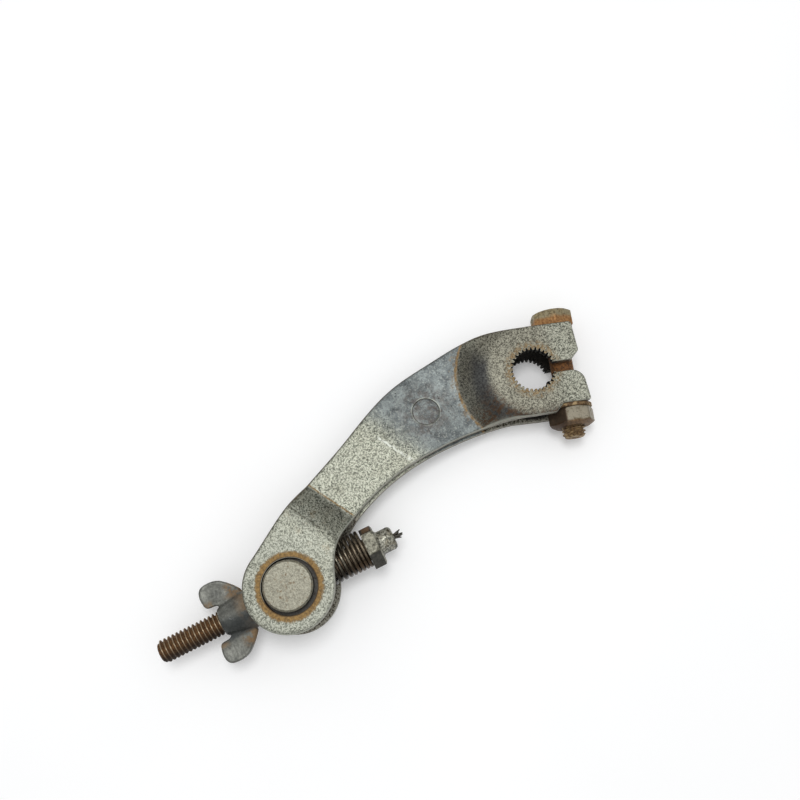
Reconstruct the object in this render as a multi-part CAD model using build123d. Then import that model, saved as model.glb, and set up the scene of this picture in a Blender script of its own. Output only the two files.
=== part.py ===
from build123d import *
import os
from math import atan, cos, hypot, radians, sin, tan

# Brake cam lever, in millimetres.
# The origin is the middle of the serrated bore, +Z runs along the bore,
# and +X points from the bore to the trunnion pin.

# Plates
plate_t = 3.175             # thickness of each pressed plate
pin_distance = 109.0        # from the bore to the trunnion pin
seam_lift = 3.0             # the arm's seam lies this far above the middle of the clamp

# Serrated bore and pinch slot
bore_tip_r = 6.95           # radius over the tooth tips
tooth_depth = 1.10
tooth_count = 31
tooth_land = 0.42           # share of the tooth pitch that is left as a land
slot_w = 3.7
slot_angle = 146.0          # direction of the slot, seen from above
head_seat = 15.6            # from the bore's middle to the seat of the bolt head
nut_seat = 13.0             # from the bore's middle to the seat of the washer
heel_edge = 15.9            # side of the clamp behind the nut seat
head_jaw_lean = -0.8        # the jaws' ends lean outwards by this much
nut_jaw_lean = 1.25
slot_mouth = 3.0            # width of the bevel at the slot's mouth
mouth_round = 1.8           # the nut's jaw is rounder at the mouth by this much
mouth_inset = 0.6
seat_start = 8.3            # the nut's notch begins this far along the slot
shoulder_u = -12.0          # the clamp's straight edges end here, along the slot
heel_u = -6.0
spot_face = 0.2             # the seat is faced this much wider than the washer

# Pinch bolt, lock washer and nut
bolt_d = 8.0
bolt_gap = 1.60             # the plates stand this much further apart than the bolt is thick
bolt_clear = 0.65           # from the bolt to the tooth tips
bolt_head_af = 13.4
bolt_head_h = 5.7
bolt_head_off = 0.7         # the forged head sits this much off the shank's axis
bolt_head_turn = 1.0
bolt_tail = 3.6             # thread that shows below the nut
bolt_chamfer = 0.9
bolt_edge = 5.0             # from the bolt's middle to the end of the jaws
washer_od = 15.4
washer_t = 1.3
washer_gap = 1.3            # the split in the lock washer
washer_play = 0.15
washer_split = 200.0        # where the split is, round the bolt
nut_af = 14.3
nut_h = 6.2
nut_turn = 24.0
hex_cone = 30.0             # slope of the turned ends of the nut and the head
face_share = 0.97           # the turned end's face against the width across flats
nut_end_r = 5.7             # the nut's outer end is turned down to this radius

# Fork and trunnion
fork_gap = 14.65            # between the two eyes
eye_r = 15.0
eye_slim = 0.5              # the eye is this much slimmer where the back edge leaves it
journal_r = 8.1
journal_play = 0.9          # loose fit of the journals in the eyes
journal_rest = (-0.26, 0.45)  # the middle of the holes, seen from the middle of the journals
journal_proud = 0.6
journal_bevel = 0.6
barrel_r = 11.0
barrel_end_play = 0.10

# Dish at the clamp, crank of the arm and ramp at the fork
dish_foot_r = 26.4          # crease where the clamp's dish meets the arm
dish_top_r = 16.3
bend_angle = 14.6           # direction across the straight bends
crank_at = 50.3             # bend where the arm starts to fall towards the clamp
crank_run = 26.0
ramp_at = 75.5              # crease where the fork's ramp begins
ramp_run = 8.9
round_top = 5.0             # outer radius of the pressed corners

# Flush rivet
rivet_at = (36.9, -14.1)
rivet_d = 9.5

# Adjuster rod with its hex shoulder and ferrule
rod_angle = 164.6           # direction from the rod's tip to the cable
rod_d = 7.7
rod_off = 0.35              # the cross hole misses the pin's axis by this much
rod_play = 0.08
rod_tip = 46.3              # from the pin to the rod's threaded end
rod_chamfer = 0.9
hex_af = 12.7
hex_t = 4.4
hex_turn = 18.0
hex_bevel = (0.5, 0.9)      # bevel round the hexagon's end, along and across the rod
ferrule_d = 7.9
ferrule_len = 5.5
ferrule_chamfer = (1.4, 0.9)
crimp_depth = 0.55
crimp_len = 4.2
crimp_count = 2
crimp_at = 65.0

# Spring
spring_len = 16.15
spring_od = 13.4
spring_off = 0.8            # the loose spring hangs this much to one side of the rod
wire_d = 1.28
coil_count = 9              # the coils lie wider apart at the trunnion than at the hex
close_pitch = 1.30
spring_turn = 90.0          # where the wire ends, round the rod
facets_per_coil = 16        # the wire is drawn as short straight lengths
seat_play = 0.05            # running gap of the parts that bear on the barrel

# Wing nut
hub_base_r = 6.9
hub_top_r = 5.1
hub_len = 12.6
nose_r = 4.4                # the hub ends in a short cone
nose_len = 1.3
wing_t = 3.2
wing_edge = [(7.2, 4.3), (10.6, 7.2), (12.8, 9.9), (13.5, 13.4), (12.7, 16.5), (10.5, 17.5), (7.6, 17.3),
             (6.1, 16.6), (5.8, 15.2), (5.5, 13.2)]
wing_root = 2.0             # the wings run this far into the hub
nut_play = 0.08

# Cable stub
strand_d = 0.68
strand_seat = 4.5           # length of cable inside the ferrule
strand_out = 2.6
strand_step = 0.09          # each wire is shorter than the last by this share
strand_play = 0.02

# Sides of the arm, as points from the bore's middle
hollow_side = [(22.0, 5.3), (44.0, -1.9), (64.0, -4.4), (78.0, -3.1), (89.8, 1.0)]
back_side = [(94.0, -19.55), (66.0, -24.15), (40.0, -28.0), (22.0, -26.0), (9.0, -23.4)]
rear_swing = 0.4            # the rear plate's arm lies this many degrees off the front one's
rear_proud = 0.5            # and stands out this much at the hollow side

# Worked out from the above
clamp_gap = bolt_d + bolt_gap
clamp_half = clamp_gap / 2 + plate_t
fork_half = fork_gap / 2 + plate_t
bolt_u = bore_tip_r + bolt_clear + bolt_d / 2
jaw_reach = bolt_u + bolt_edge
rod_dir = Vector(cos(radians(rod_angle)), sin(radians(rod_angle)), 0)
pin_centre = Vector(pin_distance, 0, seam_lift)
rod_middle = pin_centre + Vector(rod_dir.Y, -rod_dir.X, 0) * rod_off
barrel_reach = barrel_r + seat_play
shoulder_at = barrel_reach + spring_len
far = 60.0                  # larger than anything the tool shapes have to cross


def slot_point(u, v):
    """A point of the clamp, u along the slot and v along the pinch bolt."""
    a = radians(slot_angle)
    return (u * cos(a) + v * sin(a), u * sin(a) - v * cos(a))


def rod_place(along):
    """A place on the rod's axis, with Z pointing to the cable."""
    return Plane(origin=rod_middle + rod_dir * along, x_dir=(0, 0, 1), z_dir=rod_dir)


def hexagon(across_flats):
    return RegularPolygon(across_flats / 2, 6, major_radius=False)


def export(name, shape):
    export_step(shape, f"parts/{name}.step")


# Press forms: each is the space under a plate's surface, skin mm outside the seam

def across_bends(points):
    """A profile drawn across the bends, given as (distance, height), made into a prism."""
    place = Plane(
        origin=(0, 0, 0),
        x_dir=(cos(radians(bend_angle)), sin(radians(bend_angle)), 0),
        z_dir=(sin(radians(bend_angle)), -cos(radians(bend_angle)), 0),
    )
    face = make_face(place * Polyline(*points, close=True))
    return extrude(face, far, both=True)


def arm_form(side, skin):
    """The two halves of the arm: level at the clamp, up the crank, level again."""
    mitre = side * skin * tan(atan(seam_lift / crank_run) / 2)
    points = [
        (-2 * far, side * skin),
        (crank_at - crank_run - mitre, side * skin),
        (crank_at - mitre, seam_lift + side * skin),
        (4 * far, seam_lift + side * skin),
        (4 * far, -side * far),
        (-2 * far, -side * far),
    ]
    return across_bends(points)


def clamp_form(side, skin):
    rise = clamp_half - plate_t
    slope = rise / (dish_foot_r - dish_top_r)
    top = clamp_gap / 2 + skin
    line_z = plate_t + (skin - plate_t) * hypot(1, slope)
    corner = dish_foot_r - (top - line_z) / slope
    foot = dish_foot_r + (far + line_z) / slope
    turn = atan(slope)
    radius = round_top - plate_t + skin
    trim = radius * tan(turn / 2)
    flat_end = (corner - trim, 0, side * top)
    ramp_start = (corner + trim * cos(turn), 0, side * (top - trim * sin(turn)))
    arc_mid_drop = radius * (1 - cos(turn / 2))
    arc_mid = (corner - trim + radius * sin(turn / 2), 0, side * (top - arc_mid_drop))
    outline = [
        Line((0, 0, -side * far), (0, 0, side * top)),
        Line((0, 0, side * top), flat_end),
        ThreePointArc(flat_end, arc_mid, ramp_start),
        Line(ramp_start, (foot, 0, -side * far)),
        Line((foot, 0, -side * far), (0, 0, -side * far)),
    ]
    dish = revolve(make_face(outline), Axis.Z)
    jaws_place = Plane(origin=(0, 0, 0), x_dir=(*slot_point(1, 0), 0), z_dir=(0, 0, 1))
    jaws = jaws_place * Pos(far, 0, side * (top - far) / 2) * Box(2 * far, 4 * far, top + far)
    return dish + jaws


def fork_form(side, skin):
    rise = fork_gap / 2
    slope = rise / ramp_run
    top = fork_gap / 2 + skin
    line_z = plate_t + (skin - plate_t) * hypot(1, slope)
    corner = ramp_at + (top - line_z) / slope
    foot = ramp_at - (far + line_z) / slope
    turn = atan(slope)
    radius = round_top - plate_t + skin
    trim = radius * tan(turn / 2)
    arc_mid_drop = radius * (1 - cos(turn / 2))
    a = radians(bend_angle)

    def at(distance, height):
        return (distance * cos(a), distance * sin(a), seam_lift + side * height)

    flat_start = at(corner + trim, top)
    ramp_end = at(corner - trim * cos(turn), top - trim * sin(turn))
    arc_mid = at(corner + trim - radius * sin(turn / 2), top - arc_mid_drop)
    outline = [
        Line(at(foot, -far), ramp_end),
        ThreePointArc(ramp_end, arc_mid, flat_start),
        Line(flat_start, at(4 * far, top)),
        Line(at(4 * far, top), at(4 * far, -far)),
        Line(at(4 * far, -far), at(foot, -far)),
    ]
    return extrude(make_face(outline), 2 * far, dir=(sin(a), -cos(a), 0), both=True)


def press_form(side, skin):
    return arm_form(side, skin) + clamp_form(side, skin) + fork_form(side, skin)


# Outline of the blank

def jaw_edge():
    """The clamp's edge, from the bolt head's seat round the jaws to the heel."""
    head_corner = slot_point(jaw_reach + head_jaw_lean, -head_seat)
    head_mouth = slot_point(jaw_reach, -slot_w / 2 - slot_mouth)
    mouth_low = slot_point(jaw_reach - slot_mouth, -slot_w / 2)
    nut_low = slot_point(jaw_reach - slot_mouth - mouth_inset, slot_w / 2)
    nut_mid = slot_point(jaw_reach - mouth_inset, slot_w / 2 + mouth_round)
    nut_end = slot_point(jaw_reach + mouth_inset, slot_w / 2 + slot_mouth + mouth_round)
    nut_corner = slot_point(jaw_reach + nut_jaw_lean, nut_seat)
    notch = slot_point(seat_start, nut_seat)
    notch_out = slot_point(seat_start - (heel_edge - nut_seat), heel_edge)
    heel = slot_point(heel_u, heel_edge)
    shoulder = slot_point(shoulder_u, -head_seat)
    edge = [
        Line(shoulder, head_corner),
        Line(head_corner, head_mouth),
        Line(head_mouth, mouth_low),
        Line(mouth_low, nut_low),
        ThreePointArc(nut_low, nut_mid, nut_end),
        Line(nut_end, nut_corner),
        Line(nut_corner, notch),
        Line(notch, notch_out),
        Line(notch_out, heel),
    ]
    return edge, shoulder, heel


def eye_point(angle, slim=0):
    a = radians(angle)
    return (pin_distance + (eye_r - slim) * cos(a), (eye_r - slim) * sin(a))


def plate_outline(swing, proud):
    """The flat outline of a plate, its arm swung a little about the bore."""
    c = cos(radians(swing))
    s = sin(radians(swing))

    def swung(point):
        return (point[0] * c - point[1] * s, point[0] * s + point[1] * c)

    edge, shoulder, heel = jaw_edge()
    eye_in = swung(eye_point(142))
    eye_tip = swung(eye_point(33))
    eye_out = swung(eye_point(-75, eye_slim))
    hollow_points = [heel] + [swung((x, y + proud)) for x, y in hollow_side] + [eye_in]
    back_points = [eye_out] + [swung(point) for point in back_side] + [shoulder]
    into_eye = (cos(radians(52 + swing)), sin(radians(52 + swing)))
    out_of_eye = (cos(radians(195 + swing)), sin(radians(195 + swing)))
    hollow = Spline(*hollow_points, tangents=(slot_point(-1, 0), into_eye))
    eye = ThreePointArc(eye_in, eye_tip, eye_out)
    back = Spline(*back_points, tangents=(out_of_eye, slot_point(1, 0)))
    return make_face(edge + [hollow, eye, back])


def bore_cutter():
    """The serrated bore: a round hole with a groove between each pair of teeth."""
    pitch = 360 / tooth_count
    half = radians(pitch * (1 - tooth_land) / 2)
    root_r = bore_tip_r + tooth_depth
    inner = bore_tip_r - 0.5
    spread = inner * tan(half)
    groove = make_face(Polyline((inner, -spread), (root_r, -0.12), (root_r, 0.12), (inner, spread), close=True))
    hole = Circle(bore_tip_r)
    hole += [Rot(0, 0, slot_angle + pitch * (i + 0.5)) * groove for i in range(tooth_count)]
    return extrude(hole, far / 2, both=True)


def plate(side):
    body = press_form(side, plate_t) - press_form(side, 0)
    outline = plate_outline(0, 0) if side > 0 else plate_outline(rear_swing, rear_proud)
    prism = extrude(outline, far / 2, both=True)
    body = body & prism
    body -= bore_cutter()
    slot = Plane(origin=(0, 0, 0), x_dir=(*slot_point(1, 0), 0), z_dir=(0, 0, 1))
    body -= slot * Pos(far / 2, 0, 0) * Box(far, slot_w, far)
    hole = Pos(pin_distance + journal_rest[0], journal_rest[1], 0) * Cylinder(journal_r + journal_play, far)
    body -= hole
    body -= Pos(*rivet_at, 0) * Cylinder(rivet_d / 2, far)
    body -= bolt_place(nut_seat) * Pos(0, 0, far / 2) * Cylinder(washer_od / 2 + spot_face, far)
    return body.solids().sort_by(SortBy.VOLUME)[-1]


def plate_rivet():
    stack = press_form(1, plate_t) & press_form(-1, plate_t)
    return (stack & (Pos(*rivet_at, 0) * Cylinder(rivet_d / 2, far))).solids()[0]


# Pinch bolt group: v runs along the bolt, from the head to the nut

def bolt_place(v):
    middle = slot_point(bolt_u, v)
    along = slot_point(0, 1)
    return Plane(origin=(*middle, 0), x_dir=(0, 0, 1), z_dir=(*along, 0))


def domed_hex(across_flats, height, low_r, high_r=0):
    """A hexagon whose ends are turned down to the given radii; without one, the high end is whole."""
    outer_r = across_flats / 2 / cos(radians(30)) + 0.1
    slope = tan(radians(hex_cone))
    points = [(0, 0), (low_r, 0), (outer_r, (outer_r - low_r) * slope)]
    if high_r:
        points += [(outer_r, height - (outer_r - high_r) * slope), (high_r, height), (0, height)]
    else:
        points += [(outer_r, height), (0, height)]
    turned = revolve(make_face(Plane.XZ * Polyline(*points, close=True)), Axis.Z)
    return extrude(hexagon(across_flats), height) & turned


def clamp_bolt():
    length = head_seat + nut_seat + washer_t + nut_h + bolt_tail
    head_place = bolt_place(-head_seat - bolt_head_h) * Pos(0, bolt_head_off, 0)
    head = domed_hex(bolt_head_af, bolt_head_h, bolt_head_af / 2 * face_share)
    head = head_place * Rot(0, 0, bolt_head_turn) * head
    shank = bolt_place(-head_seat) * Pos(0, 0, length / 2) * Cylinder(bolt_d / 2, length)
    tail = shank.edges().filter_by(GeomType.CIRCLE).sort_by(Axis((0, 0, 0), (*slot_point(0, 1), 0)))[-1]
    shank = chamfer(tail, bolt_chamfer)
    return (head + shank).solids()[0]


def clamp_lock_washer():
    ring = Cylinder(washer_od / 2, washer_t) - Cylinder(bolt_d / 2 + washer_play, washer_t)
    split = Pos(washer_od / 2, 0, 0) * Rot(25, 0, 0) * Box(washer_od, washer_gap, 4 * washer_t)
    ring -= Rot(0, 0, washer_split) * split
    return (bolt_place(nut_seat) * Pos(0, 0, washer_t / 2) * ring).solids()[0]


def clamp_nut():
    body = domed_hex(nut_af, nut_h, nut_af / 2 * face_share, nut_end_r)
    body -= Pos(0, 0, nut_h / 2) * Cylinder(bolt_d / 2, nut_h)
    return (bolt_place(nut_seat + washer_t) * Rot(0, 0, nut_turn) * body).solids()[0]


# Trunnion group

def trunnion_pin():
    length = 2 * (fork_half + journal_proud)
    journals = Cylinder(journal_r, length)
    journals = chamfer(journals.edges().filter_by(GeomType.CIRCLE), journal_bevel)
    barrel = Cylinder(barrel_r, fork_gap - 2 * barrel_end_play)
    body = Pos(*pin_centre) * (journals + barrel)
    body -= rod_place(0) * Cylinder(rod_d / 2 + rod_play, 4 * barrel_r)
    return body.solids()[0]


def adjuster_rod():
    shaft_len = rod_tip + shoulder_at
    shaft = Pos(0, 0, shaft_len / 2) * Cylinder(rod_d / 2, shaft_len)
    shaft = chamfer(shaft.edges().filter_by(GeomType.CIRCLE).sort_by(Axis.Z)[0], rod_chamfer)
    shaft = rod_place(-rod_tip) * shaft
    shoulder = extrude(hexagon(hex_af), hex_t)
    shoulder = chamfer(shoulder.faces().sort_by(Axis.Z)[-1].edges(), hex_bevel[0], hex_bevel[1])
    shoulder = rod_place(shoulder_at) * Rot(0, 0, hex_turn) * shoulder
    ferrule = Pos(0, 0, ferrule_len / 2) * Cylinder(ferrule_d / 2, ferrule_len)
    ferrule = chamfer(ferrule.edges().filter_by(GeomType.CIRCLE).sort_by(Axis.Z)[-1], *ferrule_chamfer)
    for i in range(crimp_count):
        flat = Pos(ferrule_d / 2, 0, ferrule_len) * Box(2 * crimp_depth, ferrule_d, 2 * crimp_len)
        ferrule -= Rot(0, 0, crimp_at + i * 360 / crimp_count) * flat
    bundle_r = 1.5 * strand_d
    ferrule -= Pos(0, 0, ferrule_len - strand_seat / 2) * Cylinder(bundle_r + strand_play, strand_seat)
    ferrule = rod_place(shoulder_at + hex_t) * ferrule
    return (shaft + shoulder + ferrule).solids()[0]


def return_spring():
    """A compression spring whose coils close up towards the hex shoulder."""
    mean_r = (spring_od - wire_d) / 2
    run = spring_len - wire_d
    open_pitch = 2 * run / coil_count - close_pitch
    sections = []
    for i in range(coil_count * facets_per_coil + 1):
        turns = i / facets_per_coil
        height = open_pitch * turns - (open_pitch - close_pitch) * turns ** 2 / (2 * coil_count)
        place = Rot(0, 0, spring_turn + 360 * turns) * Pos(mean_r, 0, height) * Rot(90, 0, 0)
        sections.append(place * RegularPolygon(wire_d / 2, 6, major_radius=False))
    coil = loft(sections, ruled=True)
    return (rod_place(barrel_reach + wire_d / 2) * Pos(0, -spring_off, 0) * coil).solids()[0]


def wing_profile():
    """One wing as (distance from the rod, height over the hub's base)."""
    ear = Spline(*wing_edge)
    neck = (wing_root, wing_edge[0][1])
    notch = (wing_root, wing_edge[-1][1])
    return make_face([ear, Line(neck, wing_edge[0]), Line(wing_edge[-1], notch), Line(notch, neck)])


def wing_nut():
    low = (Align.CENTER, Align.CENTER, Align.MIN)
    hub = Cone(hub_base_r, hub_top_r, hub_len, align=low)
    hub += Pos(0, 0, hub_len) * Cone(hub_top_r, nose_r, nose_len, align=low)
    wing = extrude(Plane.XZ * wing_profile(), wing_t / 2, both=True)
    body = hub + wing + Rot(0, 0, 180) * wing
    body -= Cylinder(rod_d / 2 + nut_play, 4 * hub_len)
    place = Plane(origin=rod_middle - rod_dir * barrel_reach, x_dir=(-rod_dir.Y, rod_dir.X, 0), z_dir=-rod_dir)
    return (place * body).solids()[0]


def cable_strands():
    """Seven wires of the broken cable, six around one."""
    end = shoulder_at + hex_t + ferrule_len
    wires = []
    for i in range(7):
        around = radians(60 * i)
        off = 0 if i == 6 else strand_d
        length = strand_seat + strand_out * (1 - strand_step * i)
        wire = extrude(RegularPolygon(strand_d / 2 - 0.01, 8), length)
        wires.append(rod_place(end - strand_seat) * Pos(off * cos(around), off * sin(around), 0) * wire)
    return Compound(wires)


def build():
    os.makedirs("parts", exist_ok=True)
    export("front_plate", plate(1))
    export("rear_plate", plate(-1))
    export("plate_rivet", plate_rivet())
    export("clamp_bolt", clamp_bolt())
    export("clamp_lock_washer", clamp_lock_washer())
    export("clamp_nut", clamp_nut())
    export("trunnion_pin", trunnion_pin())
    export("adjuster_rod", adjuster_rod())
    export("return_spring", return_spring())
    export("wing_nut", wing_nut())
    export("cable_strands", cable_strands())


build()
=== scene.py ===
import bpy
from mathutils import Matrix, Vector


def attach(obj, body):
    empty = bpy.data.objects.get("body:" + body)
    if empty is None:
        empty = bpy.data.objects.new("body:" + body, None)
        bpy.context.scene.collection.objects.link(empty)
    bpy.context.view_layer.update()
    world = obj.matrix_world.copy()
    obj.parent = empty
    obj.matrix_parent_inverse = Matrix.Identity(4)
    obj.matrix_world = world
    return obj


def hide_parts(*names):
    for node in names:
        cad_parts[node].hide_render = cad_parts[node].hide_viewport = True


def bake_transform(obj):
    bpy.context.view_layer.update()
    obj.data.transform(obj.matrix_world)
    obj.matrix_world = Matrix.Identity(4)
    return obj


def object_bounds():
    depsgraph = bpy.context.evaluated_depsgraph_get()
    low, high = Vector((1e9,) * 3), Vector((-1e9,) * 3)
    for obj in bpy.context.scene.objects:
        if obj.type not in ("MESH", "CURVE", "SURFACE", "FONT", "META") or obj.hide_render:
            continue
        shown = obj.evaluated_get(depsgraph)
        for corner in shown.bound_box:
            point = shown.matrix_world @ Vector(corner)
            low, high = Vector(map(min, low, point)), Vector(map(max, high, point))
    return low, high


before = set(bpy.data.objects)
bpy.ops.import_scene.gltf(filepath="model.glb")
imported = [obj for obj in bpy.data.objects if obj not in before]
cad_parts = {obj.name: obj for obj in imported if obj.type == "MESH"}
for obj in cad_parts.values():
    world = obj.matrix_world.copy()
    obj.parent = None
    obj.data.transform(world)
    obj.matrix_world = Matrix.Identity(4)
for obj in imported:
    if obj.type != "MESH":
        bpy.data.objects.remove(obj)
cad_box = [list(corner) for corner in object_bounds()]

import math
import random
from math import cos, pi, radians, sin, sqrt, tan

import bmesh
import bpy
import numpy as np
from mathutils import Matrix, Vector, noise
from mathutils.geometry import delaunay_2d_cdt

# A brake cam lever on a pale floor. Lengths are in millimetres until a mesh is made.
MM = 0.001

# Plates, as in the solids
PLATE_T = 3.175
PIN_DISTANCE = 109.0
SEAM_LIFT = 3.0
SLOT_ANGLE = 146.0
SLOT_HALF = 1.85
HEAD_SEAT = 15.6
NUT_SEAT = 13.0
HEEL_EDGE = 15.9
JAW_REACH = 16.6
HEAD_JAW_LEAN = -0.8
NUT_JAW_LEAN = 1.25
SEAT_START = 8.3
CLAMP_GAP = 9.6
FORK_GAP = 14.65
EYE_R = 15.0
EYE_SLIM = 0.5
HOLE_AT = (108.74, 0.45)
HOLE_R = 9.0
RIVET_AT = (36.9, -14.1)
RIVET_R = 4.75
DISH_FOOT_R = 26.4
DISH_TOP_R = 16.3
BEND_ANGLE = 14.6
CRANK_AT = 50.3
CRANK_RUN = 26.0
RAMP_AT = 75.5
RAMP_RUN = 8.9
ROUND_TOP = 5.0
TIP_R = 6.95
TOOTH_DEPTH = 1.1
TOOTH_COUNT = 31
TOOTH_LAND = 0.42
HOLLOW_SIDE = [(22.0, 5.3), (44.0, -1.9), (64.0, -4.4), (78.0, -3.1), (89.8, 1.0)]
BACK_SIDE = [(94.0, -19.55), (66.0, -24.15), (40.0, -28.0), (22.0, -26.0), (9.0, -23.4)]
REAR_SWING = 0.4
REAR_PROUD = 0.5

# Fasteners and the cable adjuster, as in the solids
BOLT_D = 8.0
BOLT_U = 11.6
HEAD_AF = 13.4
HEAD_H = 5.7
HEAD_OFF = 0.7
BOLT_TAIL = 3.6
BOLT_PITCH = 1.25
WASHER_OD = 15.4
WASHER_T = 1.3
NUT_AF = 14.3
NUT_H = 6.2
NUT_TURN = 24.0
NUT_END_R = 5.7
ROD_ANGLE = 164.6
ROD_D = 7.7
ROD_OFF = 0.35
ROD_TIP = 46.3
ROD_PITCH = 1.411
THREAD_END = -11.0
BARREL_REACH = 11.05
SPRING_LEN = 16.15
SPRING_OD = 13.4
SPRING_OFF = 0.8
SPRING_TURN = 90.0
WIRE_D = 1.28
COILS = 9
CLOSE_PITCH = 1.30
HEX_AF = 12.7
HEX_T = 4.4
HEX_TURN = 18.0
FERRULE_D = 7.9
FERRULE_LEN = 5.5
CRIMP_LEN = 4.2
CRIMP_AT = 65.0
HUB_BASE_R = 6.9
HUB_TOP_R = 5.1
HUB_LEN = 12.6
NOSE_R = 4.4
NOSE_LEN = 1.3
WING_T = 3.2
WING_EDGE = [(7.2, 4.3), (10.6, 7.2), (12.8, 9.9), (13.5, 13.4), (12.7, 16.5), (10.5, 17.5), (7.6, 17.3),
             (6.1, 16.6), (5.8, 15.2), (5.5, 13.2)]
STRAND_D = 0.68

# Unlike the solids, which meet at the upper end of trunnion_pivot: the spring's middle line is drawn in by this
# much, and the plates' inner faces stand back next to this place
SPRING_SLIM = 0.12
SPRING_NEAR = (83.7, -1.0)

SHOULDER_AT = BARREL_REACH + SPRING_LEN
ROD_DIR = Vector((cos(radians(ROD_ANGLE)), sin(radians(ROD_ANGLE)), 0))
ROD_SIDE = Vector((ROD_DIR.y, -ROD_DIR.x, 0))
ROD_MIDDLE = Vector((PIN_DISTANCE, 0, SEAM_LIFT)) + ROD_SIDE * ROD_OFF
FLOOR_Z = cad_box[0][2]


# Places

def slot_xy(u, v):
    """A point of the clamp, u along the slot and v along the pinch bolt."""
    a = radians(SLOT_ANGLE)
    return (u * cos(a) + v * sin(a), u * sin(a) - v * cos(a))


def placed(x, y, z, origin):
    """The matrix with these axes and this origin."""
    m = Matrix((x, y, z)).transposed().to_4x4()
    m.translation = origin
    return m


def rod_frame(along, flip=False):
    """Local Z runs along the rod to the cable, or to the tip when flipped; local X points up."""
    z = -ROD_DIR if flip else ROD_DIR
    x = Vector((0, 0, 1))
    return placed(x, z.cross(x), z, ROD_MIDDLE + ROD_DIR * along)


def bolt_frame(v, off=0.0):
    """Local Z runs along the bolt to the nut; local X points up."""
    z = Vector((*slot_xy(0, 1), 0))
    x = Vector((0, 0, 1))
    return placed(x, z.cross(x), z, Vector((*slot_xy(BOLT_U - off, v), 0)))


# Meshes

def new_object(name, shape, place=None, smooth_angle=35):
    """shape is a pair of vertices and faces."""
    verts, faces = shape
    me = bpy.data.meshes.new(name)
    if place is not None:
        verts = [place @ Vector(v) for v in verts]
    me.from_pydata([(v[0] * MM, v[1] * MM, v[2] * MM) for v in verts], [], faces)
    me.validate()
    bm = bmesh.new()
    bm.from_mesh(me)
    bmesh.ops.recalc_face_normals(bm, faces=bm.faces)
    for f in bm.faces:
        f.smooth = True
    limit = radians(smooth_angle)
    for e in bm.edges:
        if len(e.link_faces) == 2 and e.calc_face_angle(0) > limit:
            e.smooth = False
    bm.to_mesh(me)
    bm.free()
    ob = bpy.data.objects.new(name, me)
    bpy.context.scene.collection.objects.link(ob)
    return ob


def strip(faces, a, b, n):
    """Adds the quads between two closed rows of n vertices that start at a and at b."""
    for i in range(n):
        k = (i + 1) % n
        faces.append((a + i, a + k, b + k, b + i))


def polar_surface(rings, around, close=True):
    """rings are pairs of radius and height, or functions of the angle that give them; caps close the ends."""
    verts = []
    faces = []
    for ring in rings:
        for i in range(around):
            a = 2 * pi * i / around
            r, z = ring(a) if callable(ring) else ring
            verts.append((r * cos(a), r * sin(a), z))
    for j in range(len(rings) - 1):
        strip(faces, j * around, (j + 1) * around, around)
    if close:
        faces.append(tuple(range(around - 1, -1, -1)))
        last = (len(rings) - 1) * around
        faces.append(tuple(range(last, last + around)))
    return verts, faces


def dress(ob, body, slot, material, *nodes):
    ob.data.materials.clear()
    ob.data.materials.append(material)
    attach(ob, body)
    if nodes:
        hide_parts(*nodes)
    return ob


# Plate outline

def spline(points, start, end, step):
    """A smooth curve through the points with the given end directions; the last point is left out."""
    p = np.array(points, float)
    h = np.linalg.norm(np.diff(p, axis=0), axis=1)
    n = len(p)
    a = np.eye(n)
    rhs = np.zeros((n, 2))
    rhs[0] = start
    rhs[-1] = end
    for i in range(1, n - 1):
        a[i, i - 1] = h[i]
        a[i, i] = 2 * (h[i - 1] + h[i])
        a[i, i + 1] = h[i - 1]
        rhs[i] = 3 * (h[i] * (p[i] - p[i - 1]) / h[i - 1] + h[i - 1] * (p[i + 1] - p[i]) / h[i])
    m = np.linalg.solve(a, rhs)
    out = []
    for i in range(n - 1):
        count = max(2, round(h[i] / step))
        for s in np.arange(count) / count:
            h00 = 2 * s ** 3 - 3 * s ** 2 + 1
            h10 = s ** 3 - 2 * s ** 2 + s
            h01 = -2 * s ** 3 + 3 * s ** 2
            h11 = s ** 3 - s ** 2
            out.append(tuple(h00 * p[i] + h10 * h[i] * m[i] + h01 * p[i + 1] + h11 * h[i] * m[i + 1]))
    return out


def rounded_path(points, step):
    """Points of a path of straight runs; each inner corner (x, y, radius) is rounded."""
    out = [tuple(points[0][:2])]
    for before, corner, after in zip(points, points[1:], points[2:]):
        b, c, d = (Vector(q[:2]) for q in (before, corner, after))
        u = (b - c).normalized()
        w = (d - c).normalized()
        half = u.angle(w) / 2
        radius = corner[2]
        trim = radius / tan(half)
        centre = c + (u + w).normalized() * (radius / sin(half))
        first = c + u * trim - centre
        last = c + w * trim - centre
        sweep = first.angle_signed(last)
        count = max(2, round(abs(sweep) * radius / (step * 0.5)))
        for i in range(count + 1):
            turned = first.copy()
            turned.rotate(Matrix.Rotation(-sweep * i / count, 2))
            out.append(tuple(centre + turned))
    out.append(tuple(points[-1][:2]))
    dense = []
    for p, q in zip(out, out[1:]):
        length = math.dist(p, q)
        count = max(1, round(length / step))
        dense += [(p[0] + (q[0] - p[0]) * i / count, p[1] + (q[1] - p[1]) * i / count) for i in range(count)]
    dense.append(out[-1])
    return dense


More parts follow.
